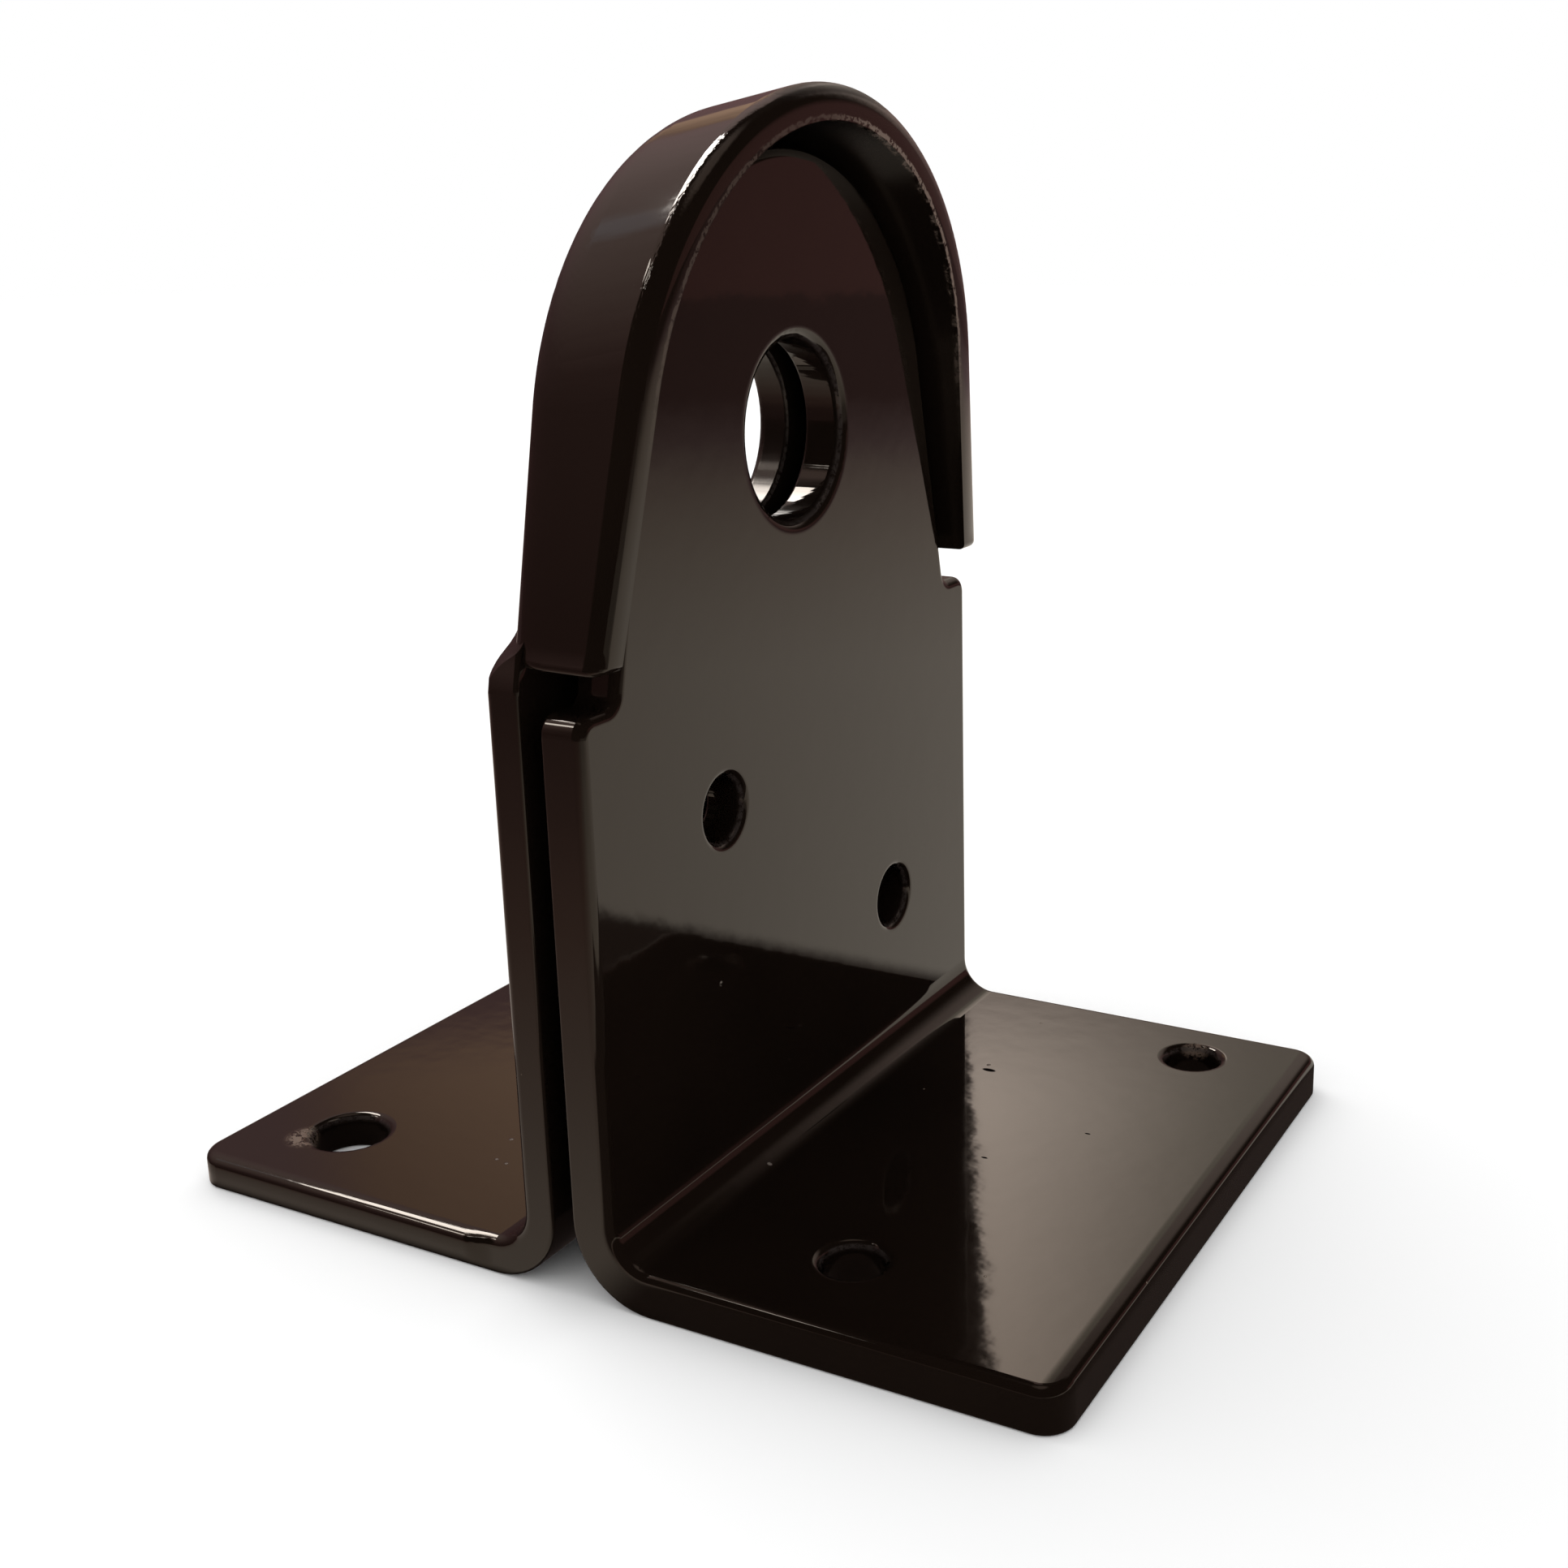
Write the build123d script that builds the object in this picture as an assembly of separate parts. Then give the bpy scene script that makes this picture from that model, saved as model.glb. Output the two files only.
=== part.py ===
from build123d import *
import math
import os

# An angle bracket made of two bent steel sheets that stand back to back. Both carry an arch with a
# large hole. The rimmed half has a flange turned up around its arch, and the plain half's arch lies
# inside that rim. Lengths are in millimetres and angles in degrees.
# X is square to the uprights, Y runs along the bends and Z is up. The origin lies under the middle
# of the footprint, on the plane that both feet stand on.

# The two sheets
width = 50.0
plain_sheet = 3.0
rimmed_sheet = 2.5
upright_gap = 1.5
bend_inside_radius = 2.5

# Punching rounds the edges of the side that shows and leaves the other side nearly sharp
rolled_edge = 0.7
crisp_edge = 0.25

# The feet, each measured from the gap side of its own upright
plain_foot_length = 33.3
rimmed_foot_length = 32.0
foot_corner_radius = 2.0

# The uprights
shackle_hole_height = 52.0
shackle_hole_diameter = 12.0
tab_height = 38.0
tab_corner_radius = 1.25
notch_root_radius = 1.0
side_taper = 12.0

# The rim leans up towards its lip, and the lip stands further proud of the plain half towards the top
notch_opening = 2.5
taper_start = 0.85
rim_lean = 10.0
rim_clearance = 1.5
rim_inside_bend = 2.0
rim_end_edge = 0.5
lip_proud_low = 1.25
lip_proud_high = 3.9
lip_edge = 1.0

# Where the square corner of the sheet fades into the bend of the rim
fade_length = 6.3

# Screw holes through both uprights: one near each side, at its own height
upright_hole_diameter = 4.3
front_upright_hole_inset = 14.6
front_upright_hole_height = 28.5
back_upright_hole_inset = 12.7
back_upright_hole_height = 15.1

# Screw holes in the feet: one near the upright and one near the end, on opposite sides
plain_foot_hole_diameter = 3.9
plain_near_hole_distance = 16.0
plain_near_hole_inset = 7.4
plain_end_hole_distance = 8.5
plain_end_hole_inset = 5.4
rimmed_foot_hole_diameter = 5.1
rimmed_near_hole_distance = 15.5
rimmed_end_hole_distance = 7.9
rimmed_hole_inset = 7.2

# Sizes that follow from the ones above
half_width = width / 2
taper_cos = math.cos(math.radians(side_taper))
taper_tan = math.tan(math.radians(side_taper))
lean_tan = math.tan(math.radians(rim_lean))
plain_gap_face = upright_gap / 2
rimmed_gap_face = -upright_gap / 2
plain_show_face = plain_gap_face + plain_sheet
rimmed_show_face = rimmed_gap_face - rimmed_sheet
lip_low = plain_show_face + lip_proud_low
lip_high = plain_show_face + lip_proud_high
lean_drop = lean_tan * (lip_high - rimmed_show_face)
rim_end_height = tab_height + notch_opening
full_width_height = tab_height + taper_start + lean_drop
rim_outer_radius = taper_cos * (half_width - taper_tan * (shackle_hole_height - full_width_height))
rim_inner_radius = rim_outer_radius - rimmed_sheet
rim_top = shackle_hole_height + rim_outer_radius
rim_outside_bend = rim_inside_bend + rimmed_sheet
arch_radius = rim_inner_radius - rim_clearance
fade_top = tab_height + fade_length
footprint_middle = (plain_gap_face + plain_foot_length + rimmed_gap_face - rimmed_foot_length) / 2

# Holes as Y and Z, or X and Y, of their middles
upright_holes = [
    (front_upright_hole_inset - half_width, front_upright_hole_height),
    (half_width - back_upright_hole_inset, back_upright_hole_height),
]
plain_foot_holes = [
    (plain_gap_face + plain_near_hole_distance, plain_near_hole_inset - half_width),
    (plain_gap_face + plain_foot_length - plain_end_hole_distance, half_width - plain_end_hole_inset),
]
rimmed_foot_holes = [
    (rimmed_gap_face - rimmed_near_hole_distance, half_width - rimmed_hole_inset),
    (rimmed_gap_face - rimmed_foot_length + rimmed_end_hole_distance, rimmed_hole_inset - half_width),
]


def placed_at(shapes, axis, place):
    """The shapes whose middles lie at a place along an axis, to a hair."""
    hair = 0.001
    return shapes.filter_by_position(axis, place - hair, place + hair)


def bent_strip(gap_face, side, sheet, foot_length, height):
    """A strip bent square along Y. Its foot points to +X where side is 1, and to -X where it is -1."""
    show_face = gap_face + side * sheet
    foot_end = gap_face + side * foot_length
    points = [
        (gap_face, 0),
        (foot_end, 0),
        (foot_end, sheet),
        (show_face, sheet),
        (show_face, height),
        (gap_face, height),
    ]
    profile = Plane.XZ * make_face(Polyline(*points, close=True))
    outer_corner = profile.vertices().sort_by_distance((gap_face, 0, 0))[0]
    profile = fillet(outer_corner, bend_inside_radius + sheet)
    inner_corner = profile.vertices().sort_by_distance((show_face, 0, sheet))[0]
    profile = fillet(inner_corner, bend_inside_radius)
    strip = extrude(profile, amount=half_width, both=True)
    return fillet(placed_at(strip.edges().filter_by(Axis.Z), Axis.X, foot_end), foot_corner_radius)


def arch_outline(radius, bottom):
    """An arch around the shackle hole, with straight sides that spread towards the bottom."""
    spread = radius / taper_cos + taper_tan * (shackle_hole_height - bottom)
    tangent_y = radius * taper_cos
    tangent_z = shackle_hole_height + radius * math.sin(math.radians(side_taper))
    sides = Polyline((-tangent_y, tangent_z), (-spread, bottom), (spread, bottom), (tangent_y, tangent_z))
    crown = ThreePointArc((tangent_y, tangent_z), (0, shackle_hole_height + radius), (-tangent_y, tangent_z))
    return make_face(sides + crown)


def bores_along_x(centres, diameter):
    """Round cutters through both uprights."""
    depth = 2 * (plain_foot_length + rimmed_foot_length)
    circles = Sketch() + [Pos(y, z) * Circle(diameter / 2) for y, z in centres]
    return extrude(Plane.YZ * circles, amount=depth / 2, both=True)


def bores_along_z(centres, diameter):
    """Round cutters through a foot."""
    circles = Sketch() + [Pos(x, y) * Circle(diameter / 2) for x, y in centres]
    return extrude(circles, amount=plain_sheet + rimmed_sheet, both=True)


def outline_edges(faces):
    """The edges around a run of faces and around the holes in it, without the seams inside the run."""
    edges = [edge for face in faces for edge in face.edges()]
    return ShapeList(edge for edge in edges if sum(edge.is_same(other) for other in edges) == 1)


def sheet_side(solid, upright_x, foot_z, bend_radius):
    """The faces on one side of a bent sheet: upright, bend and foot."""
    upright = placed_at(solid.faces().filter_by(Axis.X), Axis.X, upright_x)
    foot = placed_at(solid.faces().filter_by(Axis.Z), Axis.Z, foot_z)
    rounds = solid.faces().filter_by(GeomType.CYLINDER)
    rounds_along_y = rounds.filter_by(lambda face: abs(face.axis_of_rotation.direction.Y) > 0.9)
    bend = rounds_along_y.sort_by(lambda face: abs(face.radius - bend_radius))[:1]
    return upright + foot + bend


def hole_edge(solid, face_x):
    """The edge of the shackle hole on one face of an upright."""
    circles = placed_at(solid.edges().filter_by(GeomType.CIRCLE), Axis.X, face_x)
    return circles.sort_by_distance((face_x, 0, shackle_hole_height))[:1]


def build_plain_half():
    """The thicker half: a bent strip whose upright ends in a tapered arch between two square tabs."""
    strip = bent_strip(plain_gap_face, 1, plain_sheet, plain_foot_length, shackle_hole_height + width)
    tabs = Pos(0, tab_height / 2) * Rectangle(width, tab_height)
    tabs = fillet(tabs.vertices().group_by(Axis.Y)[-1], tab_corner_radius)
    outline = tabs + arch_outline(arch_radius, tab_height / 2)
    arch_foot = arch_radius / taper_cos + taper_tan * (shackle_hole_height - tab_height)
    roots = [outline.vertices().sort_by_distance((y, tab_height))[0] for y in (-arch_foot, arch_foot)]
    outline = fillet(roots, notch_root_radius)
    half = strip & extrude(Plane.YZ * outline, amount=plain_gap_face + plain_foot_length)
    half -= bores_along_x([(0, shackle_hole_height)], shackle_hole_diameter)
    half -= bores_along_x(upright_holes, upright_hole_diameter)
    half -= bores_along_z(plain_foot_holes, plain_foot_hole_diameter)
    show_side = sheet_side(half, plain_show_face, plain_sheet, bend_inside_radius)
    half = fillet(outline_edges(show_side), rolled_edge)
    back_side = sheet_side(half, plain_gap_face, 0, bend_inside_radius + plain_sheet)
    return fillet(outline_edges(back_side), crisp_edge)


def leaned_back(outline, back_x):
    """A block with an outline drawn at the front of the lip, carried back along the lean of the rim."""
    lean = Vector(-1, 0, -lean_tan)
    depth = (lip_high - back_x) * lean.length
    return extrude(Plane.YZ.offset(lip_high) * outline, amount=depth, dir=lean)


def corner_fade(side):
    """Cutter that lets a square corner of the sheet sweep in an S to the rounded bend of the rim."""
    depth = rim_outside_bend / math.sqrt(2)
    bottom = (0, 0)
    middle = (-depth / 2, fade_length / 2)
    top = (-depth, fade_length)
    sweep_in = TangentArc(bottom, middle, tangent=(0, 1))
    sweep_up = TangentArc(top, middle, tangent=(0, -1))
    reach = 4 * fade_length
    outside = Polyline(bottom, (reach, 0), (reach, reach), (-depth, reach), top)
    corner = (rimmed_show_face, side * half_width, tab_height)
    plane = Plane(origin=corner, x_dir=(-1, side, 0), z_dir=(side, 1, 0))
    return extrude(plane * make_face(sweep_in + sweep_up + outside), amount=reach, both=True)


def lip_cutter():
    """Everything in front of the slanted plane that the lip of the rim ends on."""
    slope = (lip_high - lip_low) / (rim_top - rim_end_height)
    top = rim_top + rim_outside_bend
    front = lip_high + rim_outside_bend
    points = [
        (lip_low - slope * rim_end_height, 0),
        (lip_low + slope * (top - rim_end_height), top),
        (front, top),
        (front, 0),
    ]
    return extrude(Plane.XZ * make_face(Polyline(*points, close=True)), amount=width, both=True)


def build_rim():
    """The arch of the rimmed half with its flange, as a tray that is open at the bottom."""
    tray = leaned_back(arch_outline(rim_outer_radius, full_width_height), rimmed_show_face)
    back_edges = tray.faces().sort_by(Axis.X)[0].edges()
    tray = fillet(back_edges.sort_by(Axis.Z)[1:], rim_outside_bend)
    tray -= lip_cutter()
    tray = fillet(tray.faces().sort_by(Axis.X)[-1].edges().sort_by(Axis.Z)[1:], lip_edge)
    hollow = leaned_back(arch_outline(rim_inner_radius, tab_height), rimmed_gap_face)
    floor_edges = hollow.faces().sort_by(Axis.X)[0].edges()
    tray -= fillet(floor_edges.sort_by(Axis.Z)[1:], rim_inside_bend)
    below = Pos(rimmed_gap_face, 0, rim_end_height)
    tray -= below * Box(lip_high - rimmed_gap_face, 2 * width, width, align=(Align.MIN, Align.CENTER, Align.MAX))
    ends = placed_at(tray.faces().filter_by(Axis.Z), Axis.Z, rim_end_height)
    return fillet([end.edges().sort_by(lambda edge: abs(edge.center().Y))[-1] for end in ends], rim_end_edge)


def build_rimmed_half():
    """The thinner half: the same bent strip, with a flange turned up around its arch as a rim."""
    strip = bent_strip(rimmed_gap_face, -1, rimmed_sheet, rimmed_foot_length, fade_top)
    outline = arch_outline(rim_outer_radius, -width) & Rectangle(width, 2 * rim_top)
    half = strip & leaned_back(outline, rimmed_gap_face - rimmed_foot_length)
    half -= bores_along_x(upright_holes, upright_hole_diameter)
    half -= bores_along_z(rimmed_foot_holes, rimmed_foot_hole_diameter)
    show_side = sheet_side(half, rimmed_show_face, rimmed_sheet, bend_inside_radius)
    half = fillet(outline_edges(show_side), rolled_edge)
    back_side = sheet_side(half, rimmed_gap_face, 0, bend_inside_radius + rimmed_sheet)
    half = fillet(outline_edges(back_side), crisp_edge)
    half -= [corner_fade(-1), corner_fade(1)]
    half += build_rim()
    half -= bores_along_x([(0, shackle_hole_height)], shackle_hole_diameter)
    show_edge = hole_edge(half, rimmed_show_face)
    half = fillet(show_edge, rolled_edge)
    return fillet(hole_edge(half, rimmed_gap_face), crisp_edge)


# Each half is built about the middle of the gap, then moved so that the origin is under the footprint
halves = {"plain_half": build_plain_half(), "rimmed_half": build_rimmed_half()}
os.makedirs("parts", exist_ok=True)
for name, half in halves.items():
    export_step(Pos(-footprint_middle, 0, 0) * half, f"parts/{name}.step")
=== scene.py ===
import bpy
import bmesh
import math
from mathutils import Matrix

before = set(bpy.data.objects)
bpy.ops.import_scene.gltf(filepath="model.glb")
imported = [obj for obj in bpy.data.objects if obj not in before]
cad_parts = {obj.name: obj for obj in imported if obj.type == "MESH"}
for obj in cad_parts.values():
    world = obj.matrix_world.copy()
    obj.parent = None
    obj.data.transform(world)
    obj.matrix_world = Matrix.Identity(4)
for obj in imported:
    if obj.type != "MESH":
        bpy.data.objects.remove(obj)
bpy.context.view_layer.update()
scene = bpy.context.scene


# The coat: one glossy layer of dark brown powder coat over both bent sheets, baked on after all
# punching and bending, so it runs round every edge and into every hole. It has a faint orange
# peel, a few specks of dust baked in, and it stays rough where the punch left a burr.

class Wire:
    """One value or colour inside a material, so that shader maths reads as plain sums."""

    def __init__(self, tree, socket=None):
        self.tree = tree
        self.socket = socket

    def node(self, kind, settings=None, values=None, output=0):
        made = self.tree.nodes.new(kind)
        for name, setting in (settings or {}).items():
            if name == "stops":
                ramp = made.color_ramp.elements
                while len(ramp) < len(setting):
                    ramp.new(1)
                for stop, (place, colour) in zip(ramp, setting):
                    stop.position = place
                    stop.color = (*colour, 1)
            else:
                setattr(made, name, setting)
        for name, value in (values or {}).items():
            if isinstance(value, Wire):
                self.tree.links.new(value.socket, made.inputs[name])
            else:
                made.inputs[name].default_value = value
        return Wire(self.tree, made.outputs[output])

    def maths(self, operation, *values):
        return self.node("ShaderNodeMath", {"operation": operation}, dict(enumerate(values)))

    def __add__(self, other):
        return self.maths("ADD", self, other)

    def __sub__(self, other):
        return self.maths("SUBTRACT", self, other)

    def __mul__(self, other):
        return self.maths("MULTIPLY", self, other)

    def __truediv__(self, other):
        return self.maths("DIVIDE", self, other)

    def __radd__(self, other):
        return self.maths("ADD", other, self)

    def __rsub__(self, other):
        return self.maths("SUBTRACT", other, self)

    def __rmul__(self, other):
        return self.maths("MULTIPLY", other, self)

    def __rtruediv__(self, other):
        return self.maths("DIVIDE", other, self)

    def size(self):
        """The value without its sign."""
        return self.maths("ABSOLUTE", self)

    def past(self, start):
        """How far the value is past a start, and 0 before it."""
        return self.maths("MAXIMUM", self - start, 0.0)

    def rise(self, start, end):
        """0 below the start and 1 above the end, with a smooth rise between them."""
        return self.node("ShaderNodeMapRange", {"interpolation_type": "SMOOTHSTEP"},
                         {"Value": self, "From Min": start, "From Max": end})

    def fall(self, start, end):
        """1 below the start and 0 above the end."""
        return 1 - self.rise(start, end)

    def between(self, start, end, soft):
        """1 from start to end, fading out over a soft border outside them."""
        return self.rise(start - soft, start) * self.fall(end, end + soft)

    def ramp(self, stops):
        """The colour at this value, from a row of (value, colour) stops."""
        first, last = stops[0][0], stops[-1][0]
        place = self.node("ShaderNodeMapRange", None, {"Value": self, "From Min": first, "From Max": last})
        spread = [((value - first) / (last - first), colour) for value, colour in stops]
        return self.node("ShaderNodeValToRGB", {"stops": spread}, {0: place})

    def blend(self, first, second):
        """This value mixes the first colour into the second."""
        return self.node("ShaderNodeMix", {"data_type": "RGBA"}, {0: self, 6: first, 7: second}, output=2)

    def glow(self, colour, strength=1.0):
        """Light of this colour."""
        return self.node("ShaderNodeEmission", None, {"Color": colour, "Strength": strength})

    def mix_shaders(self, first, second):
        """This value mixes the first shader into the second."""
        return self.node("ShaderNodeMixShader", None, {0: self, 1: first, 2: second})

    def noise(self, place, scale, detail=2.0, roughness=0.5):
        return self.node("ShaderNodeTexNoise", None,
                         {"Vector": place, "Scale": scale, "Detail": detail, "Roughness": roughness})

    def near(self, place, point, radius, soft):
        """1 close to a point given in millimetres, fading out over a soft border."""
        reach = self.node("ShaderNodeVectorMath", {"operation": "DISTANCE"},
                          {0: place, 1: [value / 1000 for value in point]}, output=1)
        return reach.fall(radius / 1000, (radius + soft) / 1000)

    def axes(self, place):
        """The three coordinates of a place, in millimetres."""
        return [self.node("ShaderNodeSeparateXYZ", None, {0: place}, output=k) * 1000 for k in range(3)]

    def to_surface(self):
        """Make this shader the surface of its material."""
        self.tree.links.new(self.socket, self.tree.nodes["Material Output"].inputs["Surface"])


class Coat:
    """The coat on one sheet. Marks are laid over it one after another, with their places and
    lengths in millimetres. The form is the larger relief in millimetres, and the peel the fine one."""

    dark_brown = (0.0042, 0.0026, 0.0018, 1)
    light_brown = (0.0056, 0.0034, 0.0024, 1)
    crumbled = (0.11, 0.075, 0.055, 1)
    lump_of_dust = (0.12, 0.1, 0.085, 1)
    fine_dust = (0.09, 0.07, 0.055, 1)
    # Pale colour of the painted highlight ring at the edges of the holes.
    ring_highlight = (0.03, 0.023, 0.021, 1)
    bare_black = (0.004, 0.003, 0.003, 1)
    gloss_tint = (1.0, 0.88, 0.76, 1)
    form_unit = 0.001
    peel_depth = 0.00012
    peel_strength = 0.12

    def __init__(self, name):
        self.paint = bpy.data.materials.new(name)
        self.paint.use_nodes = True
        self.shader = self.paint.node_tree.nodes["Principled BSDF"]
        self.shader.inputs["IOR"].default_value = 1.5
        self.shader.inputs["Specular Tint"].default_value = self.gloss_tint
        self.wire = Wire(self.paint.node_tree)
        self.place = self.wire.node("ShaderNodeTexCoord", output=3)
        self.x, self.y, self.z = self.wire.axes(self.place)
        self.ragged = self.wire.noise(self.place, 2600.0, 3.0, 0.7)
        cloud = self.wire.noise(self.place, 60.0, 3.0)
        self.colour = cloud.rise(0.3, 0.7).blend(self.dark_brown, self.light_brown)
        self.rough = 0.03 + 0.03 * self.wire.noise(self.place, 180.0)
        waves = self.wire.noise(self.place, 420.0, 1.0)
        grain = self.wire.noise(self.place, 1300.0, 1.0)
        self.peel = 0.5 * waves + 0.09 * grain
        self.form = 0.0
        self.chips = []

    def mark(self, where, colour, rough=0.0, peel=0.0):
        """Give a marked place its own colour, and add to its roughness and its fine relief."""
        self.colour = where.blend(self.colour, colour)
        if rough:
            self.rough = self.rough + rough * where
        if peel:
            self.peel = self.peel + peel * where

    def burr(self, point, radius):
        """A bare, crumbly spot that the punch left beside a hole."""
        where = self.wire.near(self.place, point, 0.6 * radius, 0.5 * radius) * self.ragged.rise(0.42, 0.52)
        self.mark(where, self.crumbled, rough=0.4, peel=3.0 * self.ragged)

    def speck(self, point, radius):
        """A pale lump of dust under the coat."""
        where = self.wire.near(self.place, point, 0.7 * radius, 0.7 * radius) * self.ragged.rise(0.4, 0.5)
        self.mark(where, self.lump_of_dust, rough=0.35, peel=2.0)

    def dust(self):
        """Fine dust all over: a dot in the middle of some cells of a loose grid."""
        cell = {"Vector": self.place, "Scale": 330.0}
        dot = self.wire.node("ShaderNodeTexVoronoi", None, cell).fall(0.018, 0.035)
        cell_colour = self.wire.node("ShaderNodeTexVoronoi", None, cell, output=1)
        chosen = self.wire.node("ShaderNodeSeparateColor", None, {0: cell_colour}).rise(0.86, 0.88)
        self.mark(dot * chosen, self.fine_dust, peel=1.5)

    def chip(self, point, radius):
        """A short black dash where the coat has chipped, about twice as long along X as it is wide."""
        squeeze = 0.45
        squeezed = self.wire.node("ShaderNodeVectorMath", {"operation": "MULTIPLY"},
                                  {0: self.place, 1: (squeeze, 1.0, 1.0)})
        middle = (squeeze * point[0], point[1], point[2])
        self.chips.append(self.wire.near(squeezed, middle, radius, 0.4 * radius))

    def hole(self, axis, middle, radius, border, slope):
        """The border of a hole along X or Z, drawn in to a slope at its edge, with a pale, rougher ring
        painted at the edge as a highlight.
        """
        across, along = (self.y, self.z) if axis == "x" else (self.x, self.y)
        across = across - middle[0]
        along = along - middle[1]
        away = self.wire.maths("SQRT", across * across + along * along)
        drawn = self.wire.maths("MAXIMUM", radius + border - away, 0.0)
        self.form = drawn * drawn * (-slope / (2 * border)) + self.form
        # A pale ring painted at the edge stands in for the highlight on the rounded border, and the coat is
        # also made rougher there.
        ring_offset = 0.16
        highlight_share = 0.7
        ring = (away - radius - ring_offset).size().fall(0.05, 0.15) * self.ragged.rise(0.3, 0.6)
        self.mark(highlight_share * ring, self.ring_highlight, rough=0.2 / highlight_share)

    def put_on(self, node_name):
        """Wire the coat to its shader, with bare black chips where it has any, and coat the sheet."""
        shaped = self.wire.node("ShaderNodeBump", None,
                                {"Strength": 1.0, "Distance": self.form_unit, "Height": self.form})
        peeled = self.wire.node("ShaderNodeBump", None,
                                {"Strength": self.peel_strength, "Distance": self.peel_depth,
                                 "Height": self.peel, "Normal": shaped})
        for name, value in (("Base Color", self.colour), ("Roughness", self.rough), ("Normal", peeled)):
            self.paint.node_tree.links.new(value.socket, self.shader.inputs[name])
        if self.chips:
            coated = Wire(self.paint.node_tree, self.shader.outputs[0])
            bare = self.wire.node("ShaderNodeBsdfDiffuse", None, {"Color": self.bare_black})
            sum(self.chips).mix_shaders(coated, bare).to_surface()
        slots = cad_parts[node_name].data.materials
        slots.clear()
        slots.append(self.paint)


# The plain half: a 3 mm steel sheet folded into a foot and an upright with two screw holes each, and
# with the shackle hole in the tab at the top. The foot's end rolls off. The coat carries specks of
# dust and three chips, and it is crumbly over a burr behind the foot's back hole.

plain_coat = Coat("coat_plain_half")
plain_coat.burr((24.6, 21.0, 3.0), 1.2)
plain_coat.speck((4.9, -9.5, 3.1), 0.16)
plain_coat.speck((3.1, -11.8, 16.9), 0.14)
plain_coat.speck((11.5, 11.5, 3.0), 0.12)
plain_coat.chip((11.9, 10.7, 3.0), 0.2)
plain_coat.chip((17.6, -2.0, 3.0), 0.09)
plain_coat.chip((22.6, 4.4, 3.0), 0.08)
plain_coat.dust()
plain_coat.hole("x", (0.0, 52.0), 6.0, border=1.0, slope=0.32)
plain_coat.hole("x", (-10.4, 28.5), 2.15, border=0.6, slope=0.4)
plain_coat.hole("x", (12.3, 15.1), 2.15, border=0.6, slope=0.4)
plain_coat.hole("z", (16.1, -17.6), 1.95, border=0.8, slope=0.7)
plain_coat.hole("z", (24.9, 19.6), 1.95, border=0.6, slope=0.3)

end_roll_start = 31.7
end_roll_curve = 0.11
past_end = plain_coat.x.past(end_roll_start)
plain_coat.form = past_end * past_end * -end_roll_curve + plain_coat.form
plain_coat.put_on("plain_half")


# The rimmed half: a 2.5 mm steel sheet folded into a foot and an upright with two screw holes each.
# A rim is drawn up round the arch of its tab, with a crowned lip that is torn along its inner edge,
# mostly on the right. The foot's front edge rolls off, and it has a burr beside the front hole.

rimmed_coat = Coat("coat_rimmed_half")
rimmed_coat.burr((-27.6, -19.8, 2.4), 1.7)
rimmed_coat.speck((-14.2, -13.6, 2.5), 0.15)
rimmed_coat.speck((-13.2, -16.4, 2.5), 0.12)
rimmed_coat.speck((-12.2, -16.6, 2.5), 0.12)
rimmed_coat.dust()
rimmed_coat.hole("x", (0.0, 52.0), 6.0, border=1.0, slope=0.3)
rimmed_coat.hole("z", (-16.9, 17.8), 2.55, border=0.6, slope=0.3)
rimmed_coat.hole("z", (-25.5, -17.8), 2.55, border=0.6, slope=0.3)

wire = rimmed_coat.wire
x, y, z = rimmed_coat.x, rimmed_coat.y, rimmed_coat.z
foot_top = 2.5
front_roll = 1.6
front_roll_curve = 0.2
over_roll = wire.maths("MINIMUM", z, foot_top).past(foot_top - front_roll)
front_edge = y.fall(-24.2, -23.6) * x.fall(-9.0, -6.5)
rolled_front = (over_roll * over_roll - front_roll ** 2) * front_edge
rimmed_coat.form = rolled_front * -front_roll_curve + rimmed_coat.form

# Reach is how far a point lies out from the middle of the arch or, along the straight sides, from a
# line through that middle in their direction. Front is how far it lies in front of the lip.
arch_height = 52.0
rim_lean = math.tan(math.radians(10))
side_taper = math.radians(12)
lip_top_x = 7.0
lip_low_x = 4.35
lip_low_height = 40.5
lip_slope = 0.0788
side = y.size()
up = z - arch_height + (lip_top_x - x) * rim_lean
around = wire.maths("MAXIMUM", wire.maths("ARCTAN2", up, side), side_taper)
reach = side * wire.maths("COSINE", around) + up * wire.maths("SINE", around)
front = x - lip_low_x - (z - lip_low_height) * lip_slope

on_rim = z.rise(39, 42)
crown_start = 19.9
crown_curve = 0.1
over_crown = reach.past(crown_start)
rimmed_coat.form = on_rim * over_crown * over_crown * -crown_curve + rimmed_coat.form

torn_reach = 19.55
torn_brown = (0.13, 0.095, 0.075, 1)
wander = 0.5 * wire.noise(rimmed_coat.place, 900.0, 3.0, 0.7)
torn = (reach - torn_reach - wander).size().fall(0.1, 0.22) * front.rise(-0.5, -0.25) * z.rise(50, 62)
mostly_right = 0.25 + 0.75 * y.rise(-2, 6)
torn = torn * mostly_right * rimmed_coat.ragged.rise(0.38, 0.5)
rimmed_coat.mark(torn, torn_brown, rough=0.3)

inside = reach.fall(19.65, 19.9) * front.fall(-0.4, -0.1) * on_rim
worn_top = reach.rise(21.0, 21.4) * front.rise(-1.3, -1.0) * z.rise(72.2, 73.2)
rimmed_coat.rough = rimmed_coat.rough + 0.15 * inside + 0.35 * worn_top
rimmed_coat.put_on("rimmed_half")


# The table top: white and plain where it is seen. In the gloss of the coat it shows a painted glow instead,
# a painted pool of light that is brightest close by and behind and falls off towards the far edge and
# towards the front, with painted shade where the part shades it.

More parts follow.
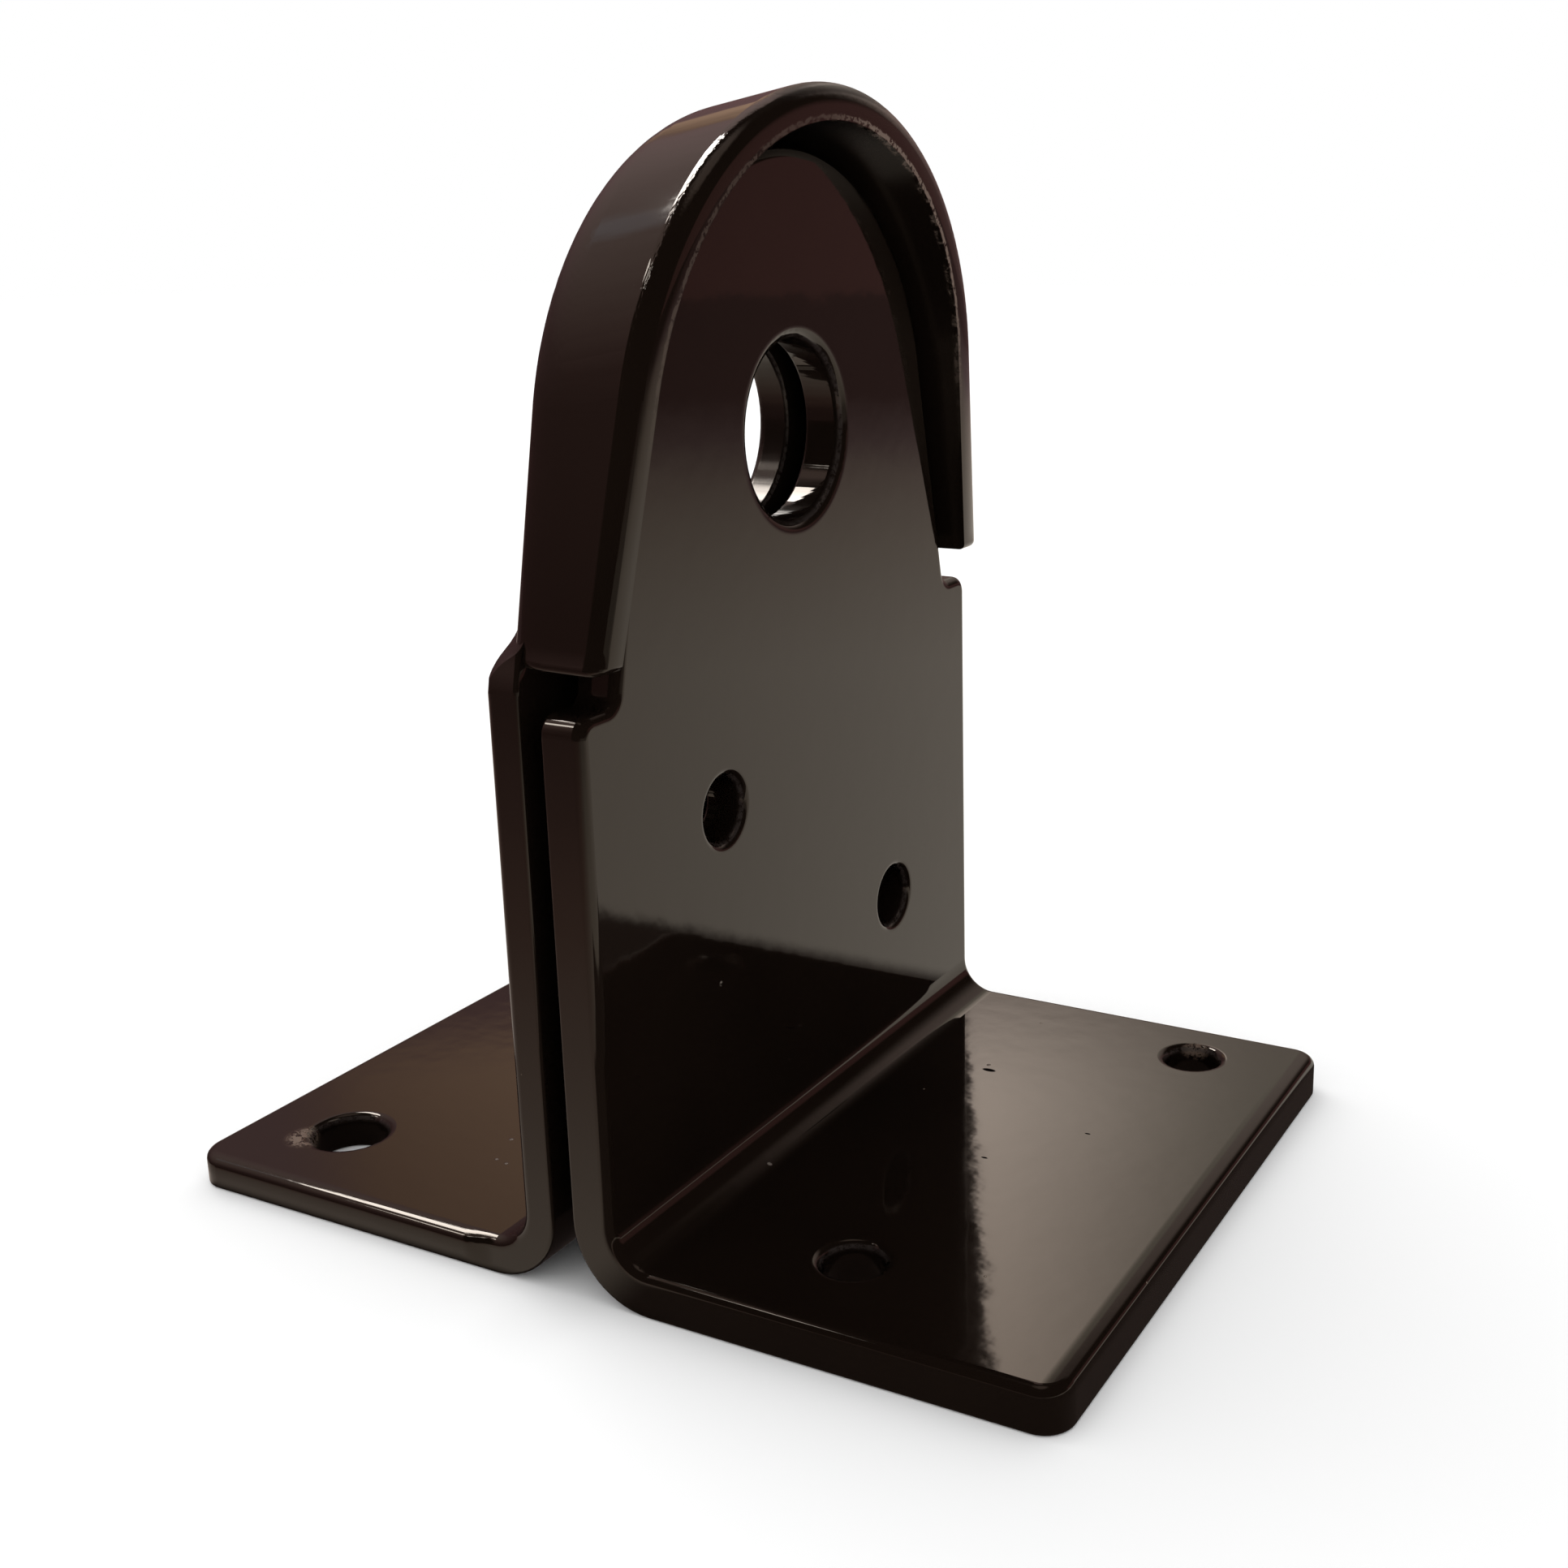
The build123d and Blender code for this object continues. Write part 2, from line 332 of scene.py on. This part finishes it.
def surroundings_paint(name):
    """An empty material for the surroundings, and the wire that its nodes hang on."""
    paint = bpy.data.materials.new(name)
    paint.use_nodes = True
    paint.node_tree.nodes.remove(paint.node_tree.nodes["Principled BSDF"])
    return paint, Wire(paint.node_tree)


floor_size = 3.0
bpy.ops.mesh.primitive_plane_add(size=floor_size)
floor = bpy.context.object
floor.name = "table_top"
floor_paint, wire = surroundings_paint("table_paint")
x, y, z = wire.axes(wire.node("ShaderNodeTexCoord", output=3))

# Away runs along the table, in about the direction that the plain upright mirrors to the camera,
# and beside runs to the left of it.
share_of_x, share_of_y = 0.57, 0.82
away = share_of_x * x + share_of_y * y
beside = share_of_x * y - share_of_y * x
table = away.ramp([
    (-170, (0.13, 0.07, 0.07)),
    (-120, (0.22, 0.13, 0.12)),
    (-85, (0.34, 0.22, 0.19)),
    (-50, (0.52, 0.42, 0.37)),
    (-10, (0.8, 0.74, 0.65)),
    (154, (0.82, 0.75, 0.66)),
    (266, (0.66, 0.57, 0.49)),
    (362, (0.5, 0.4, 0.35)),
    (450, (0.28, 0.19, 0.19)),
    (586, (0.13, 0.07, 0.07)),
])
table = (0.3 + 0.7 * beside.rise(-190, -70)).blend((0, 0, 0, 1), table)
# Painted shadow: the glow is darkened where the part shades the table in front of the plain upright, and
# painted shade darkens it under the part and between the two bends.
part_shade = x.between(4, 56, 6) * y.between(-60, 30, 4)
table = part_shade.blend(table, (0.06, 0.045, 0.04, 1))
painted_shade_under_part = x.between(-32, 6, 1) * y.between(-25, 25, 1)
table = painted_shade_under_part.blend(table, (0.03, 0.022, 0.02, 1))
seen = wire.node("ShaderNodeBsdfDiffuse", None, {"Color": (1.0, 1.0, 1.0, 1)})
glossy_ray = wire.node("ShaderNodeLightPath", output=3)
glossy_ray.mix_shaders(seen, wire.glow(table)).to_surface()
floor.data.materials.append(floor_paint)


# The room that the gloss mirrors, dark and reddish low down: a lit wall on the left, another behind
# the part with a bright blind and a brown door, window panes high up on the left and a dim glow
# overhead. Only glossy rays see it, so it neither shows behind the part nor lights the table.

room_size = 1.5
room_mesh = bpy.data.meshes.new("room")
builder = bmesh.new()
bmesh.ops.create_icosphere(builder, subdivisions=4, radius=room_size)
bmesh.ops.reverse_faces(builder, faces=builder.faces)
builder.to_mesh(room_mesh)
builder.free()
room = bpy.data.objects.new("room", room_mesh)
scene.collection.objects.link(room)
for sight in ("camera", "diffuse", "transmission", "shadow", "volume_scatter"):
    setattr(room, "visible_" + sight, False)

room_paint, wire = surroundings_paint("room_light")
x, y, z = wire.axes(wire.node("ShaderNodeTexCoord", output=3))
turn = wire.maths("ARCTAN2", y, x) * (180 / math.pi)
turn = wire.maths("MODULO", turn + 360, 360)
height = wire.maths("ARCSINE", z / (1000 * room_size)) * (180 / math.pi)
wall_left = height.ramp([
    (-30, (0.1, 0.05, 0.05)),
    (0, (0.08, 0.035, 0.035)),
    (12, (0.15, 0.08, 0.08)),
    (22, (0.24, 0.14, 0.14)),
    (31, (0.42, 0.28, 0.27)),
    (42, (0.62, 0.46, 0.43)),
    (54, (0.7, 0.54, 0.5)),
    (60, (0.03, 0.02, 0.018)),
])
wall_behind = height.ramp([
    (-10, (0.18, 0.1, 0.1)),
    (8, (0.2, 0.12, 0.11)),
    (18, (0.4, 0.3, 0.26)),
    (28, (0.62, 0.52, 0.46)),
    (36, (0.5, 0.4, 0.36)),
    (44, (0.04, 0.03, 0.025)),
])
door = turn.ramp([
    (129, (0.68, 0.44, 0.3)),
    (134, (0.55, 0.35, 0.24)),
    (139, (0.36, 0.22, 0.16)),
    (150, (0.36, 0.24, 0.19)),
])
dark = (0.022, 0.014, 0.011, 1)
low_red = turn.between(30, 130, 12) * height.between(-20, 8, 5)
light = low_red.blend(dark, (0.24, 0.11, 0.105, 1))
light = turn.between(86, 112, 26).blend(light, wall_behind)
light = (turn + 0.35 * height).between(130, 236, 6).blend(light, wall_left)
at_door = turn.between(121, 136, 4) * height.between(24.5, 31, 2.5)
light = at_door.blend(light, door)
blind_edge = turn + 0.08 * height
post = blind_edge.between(117.7, 119.3, 0.1) * height.between(22, 38, 2)
light = post.blend(light, dark)
soft_glow = turn.between(181, 184, 6) * height.between(45, 46, 4)
light = (0.45 * soft_glow).blend(light, (1.0, 1.0, 1.12, 1))
light = height.rise(68, 80).blend(light, (0.5, 0.41, 0.37, 1))
room_glow = wire.glow(light)

blind_light = turn.rise(104, 119).blend((0.2, 0.18, 0.15, 1), (0.86, 0.74, 0.65, 1))
blind_strength = 3.4
blind = turn.rise(99, 102) * blind_edge.fall(117.45, 117.8) * height.between(27, 36, 7)
room_glow = blind.mix_shaders(room_glow, wire.glow(blind_light, blind_strength))

pane_white = (1.0, 0.98, 0.96, 1)
panes = [
    ((146, 186), (48.5, 60), 18.0),
    ((192, 197), (53, 57), 10.0),
    ((211, 217), (42, 47), 12.0),
    ((226, 231), (45, 49), 6.0),
]
for turns, heights, strength in panes:
    pane = turn.between(*turns, 0.8) * height.between(*heights, 0.8)
    room_glow = pane.mix_shaders(room_glow, wire.glow(pane_white, strength))
room_glow.to_surface()
room_mesh.materials.append(room_paint)


# The light: plain white from all round, with a soft lamp from the side of the window panes that
# gives the part its shadow.

world = bpy.data.worlds.new("white_surround")
scene.world = world
world.use_nodes = True
world.node_tree.nodes["Background"].inputs["Color"].default_value = (1, 1, 1, 1)
world.node_tree.nodes["Background"].inputs["Strength"].default_value = 1.0

lamp_data = bpy.data.lights.new("soft_lamp", "AREA")
lamp_data.size = 0.8
lamp_data.energy = 3.0
lamp = bpy.data.objects.new("soft_lamp", lamp_data)
scene.collection.objects.link(lamp)
lamp.location = (-0.75, 0.2, 0.9)
lamp.rotation_euler = (math.radians(-12), math.radians(-39), 0)
lamp.visible_glossy = False


# The camera stands close, off the plain half's front corner and looking a little down on the feet.
# Its frame is shifted to the left and a little down, as if the photo had been cropped.

camera_data = bpy.data.cameras.new("camera")
camera = bpy.data.objects.new("camera", camera_data)
scene.collection.objects.link(camera)
camera.location = (0.06958, -0.10971, 0.06598)
camera.rotation_euler = (math.radians(74.947), math.radians(0.831), math.radians(27.862))
camera_data.sensor_width = 36
camera_data.lens = 43.946
camera_data.shift_x = -0.0787
camera_data.shift_y = -0.037
camera_data.clip_start = 0.005
scene.camera = camera

scene.view_settings.view_transform = "Standard"
